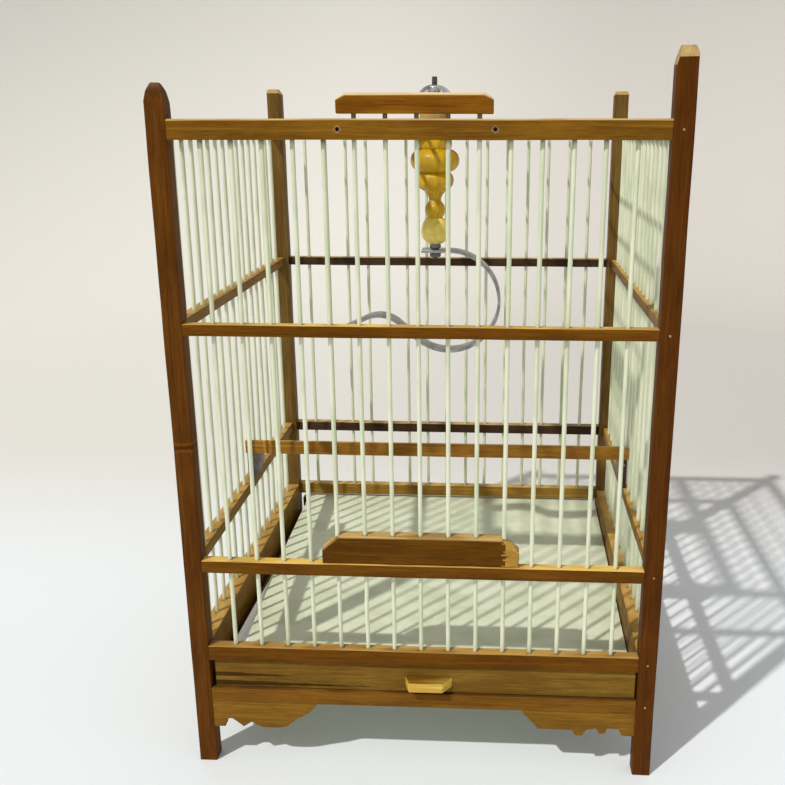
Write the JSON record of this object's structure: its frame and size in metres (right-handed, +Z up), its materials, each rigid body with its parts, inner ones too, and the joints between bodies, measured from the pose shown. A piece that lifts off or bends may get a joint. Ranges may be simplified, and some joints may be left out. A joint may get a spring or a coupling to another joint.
{
  "type": "bird cage",
  "caption": "Square bamboo songbird cage on corner-post legs, with pale rod bars, a door that slides up, a pull-out drawer floor, a flat perch and a swivel hanging hook.",
  "frame": {"origin": "on the floor, at the centre of the square that the corner posts stand on", "axes": "+Z up, -Y towards the door and the drawer handle, +X to the right when facing the door"},
  "size_m": [0.3, 0.3061, 0.451],
  "materials": {
    "post_bamboo": "lacquered bamboo, reddish brown",
    "rail_bamboo": "lacquered bamboo, golden brown",
    "bracket_bamboo": "lacquered bamboo, sawn edges",
    "door_bamboo": "lacquered bamboo, orange brown",
    "drawer_bamboo": "lacquered bamboo with dark streaks",
    "handle_bamboo": "pale bamboo, lacquered",
    "bar_plastic": "pale greenish white, satin",
    "sheet_pvc": "pale green-white PVC, satin",
    "hook_steel": "brushed",
    "zinc_steel": "dull zinc",
    "wing_chrome": "polished",
    "turned_wood": "turned, golden yellow, glossy lacquer",
    "ball_wood": "turned, pale tan",
    "plum_rest": "dark plum hardwood, oiled",
    "brass_pin": "small bright pins",
    "dark_nail": "dark oxidised nails"
  },
  "bodies": {
    "frame": {"post_front_left": "post_bamboo", "post_front_right": "post_bamboo", "post_back_left": "post_bamboo", "post_back_right": "post_bamboo", "rail_front_top": "rail_bamboo", "rail_front_middle": "rail_bamboo", "rail_front_lower": "rail_bamboo", "rail_front_base": "rail_bamboo", "rail_front_sill": "rail_bamboo", "rail_back_top": "rail_bamboo", "rail_back_middle": "rail_bamboo", "rail_back_lower": "rail_bamboo", "rail_back_base": "rail_bamboo", "rail_back_sill": "rail_bamboo", "rail_left_top": "rail_bamboo", "rail_left_middle": "rail_bamboo", "rail_left_lower": "rail_bamboo", "rail_left_base": "rail_bamboo", "rail_left_sill": "rail_bamboo", "rail_right_top": "rail_bamboo", "rail_right_middle": "rail_bamboo", "rail_right_lower": "rail_bamboo", "rail_right_base": "rail_bamboo", "rail_right_sill": "rail_bamboo", "front_bars_left": "bar_plastic", "front_bars_right": "bar_plastic", "front_short_bars": "bar_plastic", "back_bars": "bar_plastic", "left_bars": "bar_plastic", "right_bars": "bar_plastic", "roof_bars": "bar_plastic", "roof_beam_left": "rail_bamboo", "roof_beam_right": "rail_bamboo", "roof_centre_board": "rail_bamboo", "drawer_runner_left": "rail_bamboo", "drawer_runner_right": "rail_bamboo", "sill_bracket_left": "bracket_bamboo", "sill_bracket_right": "bracket_bamboo", "brass_pins": "brass_pin", "beam_nails": "dark_nail", "threaded_rod": "zinc_steel", "roof_washer": "zinc_steel", "hook_nuts": "zinc_steel", "finial": "turned_wood", "finial_ball": "ball_wood", "perch_rest_left": "plum_rest", "perch_rest_right": "plum_rest", "roof_spacer": "ball_wood"},
    "door": {"door_top_plate": "door_bamboo", "door_bottom_plate": "door_bamboo", "door_bars": "bar_plastic"},
    "drawer": {"drawer_front": "drawer_bamboo", "drawer_batten_left": "drawer_bamboo", "drawer_batten_right": "drawer_bamboo", "drawer_batten_back": "drawer_bamboo", "drawer_handle": "handle_bamboo", "drawer_floor_sheet": "sheet_pvc"},
    "hook": {"hook_strip": "hook_steel"},
    "wing_nut": {"wing_nut": "wing_chrome"},
    "perch": {"perch": "rail_bamboo"}
  },
  "joints": [
    {"name": "door_slide", "type": "slide", "parent": "frame", "child": "door", "axis": [0, 0, 1], "range_m": [0, 0.12]},
    {"name": "drawer_slide", "type": "slide", "parent": "frame", "child": "drawer", "axis": [0, -1, 0], "range_m": [0, 0.28]},
    {"name": "hook_swivel", "type": "hinge", "parent": "frame", "child": "hook", "pos_m": [0, 0, 0.3237], "axis": [0, 0, 1], "continuous": true},
    {"name": "wing_nut_turn", "type": "hinge", "parent": "frame", "child": "wing_nut", "pos_m": [0, 0, 0.4295], "axis": [0, 0, 1], "continuous": true},
    {"name": "perch_lift", "type": "slide", "parent": "frame", "child": "perch", "axis": [0, 0, 1], "range_m": [0, 0.04]}
  ]
}
